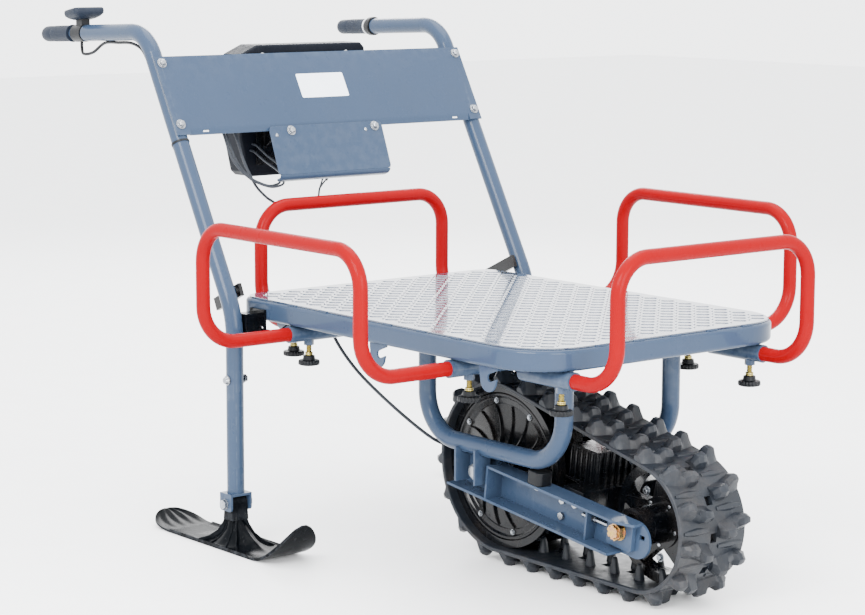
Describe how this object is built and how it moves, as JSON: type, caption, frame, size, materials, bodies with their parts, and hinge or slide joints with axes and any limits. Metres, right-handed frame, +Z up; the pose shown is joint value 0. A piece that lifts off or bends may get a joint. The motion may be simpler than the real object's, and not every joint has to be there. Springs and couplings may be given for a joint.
{
  "type": "power wheelbarrow",
  "caption": "Tracked power wheelbarrow with a flat steel deck, four pull-out red guard hoops, slanted handlebars and ski-footed legs.",
  "frame": {"origin": "bottom centre of the whole machine's bounding box, on the ground", "axes": "+X forward, from the handles to the front hoop; +Y to the operator's left; +Z up"},
  "size_m": [1.5437, 1.03, 0.9701],
  "materials": {
    "frame_paint": "gloss powder coat",
    "deck_paint": "gloss coat on lens-pattern tread plate",
    "hoop_paint": "gloss powder coat",
    "zinc": "bright zinc",
    "yellow_zinc": "yellow passivated zinc",
    "black_plastic": "satin moulded",
    "black_paint": "semi-gloss",
    "grip_rubber": "matt, knurled",
    "track_rubber": "dusty moulded rubber",
    "cable_jacket": "satin PVC",
    "label": "plain white film"
  },
  "bodies": {
    "chassis": {"right_post": "frame_paint", "left_post": "frame_paint", "right_ski_leg": "frame_paint", "left_ski_leg": "frame_paint", "leg_bolts": "zinc", "panel": "frame_paint", "panel_label": "label", "panel_bolts": "zinc", "cover_plate": "frame_paint", "battery_box": "black_plastic", "battery_tray": "black_paint", "deck_frame": "frame_paint", "deck_plate": "deck_paint", "cross_members": "frame_paint", "hoop_sockets": "frame_paint", "hooks": "frame_paint", "right_cradle": "frame_paint", "left_cradle": "frame_paint", "axle_brackets": "frame_paint", "post_brackets": "black_paint", "side_bars": "black_paint", "throttle_cable": "cable_jacket", "harness": "cable_jacket", "motor_lead": "cable_jacket", "cable_ties": "black_plastic", "right_grip": "grip_rubber", "left_grip": "grip_rubber", "grip_collar": "grip_rubber", "throttle_clamp": "black_plastic", "display": "black_plastic", "drive_axle": "zinc"},
    "right_ski": {"right_ski": "black_plastic"},
    "left_ski": {"left_ski": "black_plastic"},
    "throttle_thumb": {"throttle_lever": "black_plastic"},
    "right_guard": {"right_hoop": "hoop_paint"},
    "left_guard": {"left_hoop": "hoop_paint"},
    "front_guard": {"front_hoop": "hoop_paint"},
    "rear_guard": {"rear_hoop": "hoop_paint"},
    "clamp_right_rear": {"knob_right_rear": "black_plastic"},
    "clamp_right_front": {"knob_right_front": "black_plastic"},
    "clamp_left_rear": {"knob_left_rear": "black_plastic"},
    "clamp_left_front": {"knob_left_front": "black_plastic"},
    "clamp_front_right": {"knob_front_right": "black_plastic"},
    "clamp_front_left": {"knob_front_left": "black_plastic"},
    "clamp_rear_right": {"knob_rear_right": "black_plastic"},
    "clamp_rear_left": {"knob_rear_left": "black_plastic"},
    "drive": {"drive_wheel": "black_paint", "wheel_covers": "black_plastic", "cover_screws": "zinc"},
    "track_carrier": {"right_arm": "frame_paint", "left_arm": "frame_paint", "belt": "track_rubber", "bumpers": "grip_rubber", "cross_box": "black_paint", "motor": "black_paint", "idler_axle": "yellow_zinc", "tension_blocks": "frame_paint", "tension_rods": "zinc"},
    "idler_wheels": {"idler": "black_paint"}
  },
  "joints": [
    {"name": "carrier_rock", "type": "hinge", "parent": "chassis", "child": "track_carrier", "pos_m": [0.286, -0.0175, 0.176], "axis": [0, 1, 0], "range_deg": [0, 12]},
    {"name": "drive_spin", "type": "hinge", "parent": "chassis", "child": "drive", "pos_m": [0.286, -0.0175, 0.176], "axis": [0, 1, 0], "continuous": true},
    {"name": "idler_spin", "type": "hinge", "parent": "track_carrier", "child": "idler_wheels", "pos_m": [0.6385, -0.0175, 0.134], "axis": [0, 1, 0], "continuous": true},
    {"name": "right_guard_slide", "type": "slide", "parent": "chassis", "child": "right_guard", "axis": [0, -1, 0], "range_m": [-0.11, 0.04]},
    {"name": "left_guard_slide", "type": "slide", "parent": "chassis", "child": "left_guard", "axis": [0, 1, 0], "range_m": [-0.14, 0.04]},
    {"name": "front_guard_slide", "type": "slide", "parent": "chassis", "child": "front_guard", "axis": [1, 0, 0], "range_m": [-0.025, 0.04]},
    {"name": "rear_guard_slide", "type": "slide", "parent": "chassis", "child": "rear_guard", "axis": [-1, 0, 0], "range_m": [0, 0.04]},
    {"name": "clamp_right_rear_turn", "type": "hinge", "parent": "chassis", "child": "clamp_right_rear", "pos_m": [-0.024, -0.2745, 0.358], "axis": [0, 0, 1], "range_deg": [0, 720]},
    {"name": "clamp_right_front_turn", "type": "hinge", "parent": "chassis", "child": "clamp_right_front", "pos_m": [0.428, -0.2745, 0.358], "axis": [0, 0, 1], "range_deg": [0, 720]},
    {"name": "clamp_left_rear_turn", "type": "hinge", "parent": "chassis", "child": "clamp_left_rear", "pos_m": [-0.024, 0.2395, 0.358], "axis": [0, 0, 1], "range_deg": [0, 720]},
    {"name": "clamp_left_front_turn", "type": "hinge", "parent": "chassis", "child": "clamp_left_front", "pos_m": [0.428, 0.2395, 0.358], "axis": [0, 0, 1], "range_deg": [0, 720]},
    {"name": "clamp_front_right_turn", "type": "hinge", "parent": "chassis", "child": "clamp_front_right", "pos_m": [0.6155, -0.2365, 0.358], "axis": [0, 0, 1], "range_deg": [0, 720]},
    {"name": "clamp_front_left_turn", "type": "hinge", "parent": "chassis", "child": "clamp_front_left", "pos_m": [0.6155, 0.2015, 0.358], "axis": [0, 0, 1], "range_deg": [0, 720]},
    {"name": "clamp_rear_right_turn", "type": "hinge", "parent": "chassis", "child": "clamp_rear_right", "pos_m": [-0.1235, -0.2365, 0.358], "axis": [0, 0, 1], "range_deg": [0, 720]},
    {"name": "clamp_rear_left_turn", "type": "hinge", "parent": "chassis", "child": "clamp_rear_left", "pos_m": [-0.1235, 0.2015, 0.358], "axis": [0, 0, 1], "range_deg": [0, 720]},
    {"name": "right_ski_tilt", "type": "hinge", "parent": "chassis", "child": "right_ski", "pos_m": [-0.1215, -0.3705, 0.079], "axis": [0, 1, 0], "range_deg": [-18, 18]},
    {"name": "left_ski_tilt", "type": "hinge", "parent": "chassis", "child": "left_ski", "pos_m": [-0.1215, 0.3355, 0.079], "axis": [0, 1, 0], "range_deg": [-18, 18]},
    {"name": "throttle_press", "type": "hinge", "parent": "chassis", "child": "throttle_thumb", "pos_m": [-0.61937, -0.3535, 0.91701], "axis": [-0.9991, 0, -0.0419], "range_deg": [0, 22], "stiffness_Nm_per_rad": 0.12, "springref_deg": -22.92}
  ],
  "couplings": [
    {"joint": "idler_spin", "follows": "drive_spin", "ratio": 1.4038}
  ]
}
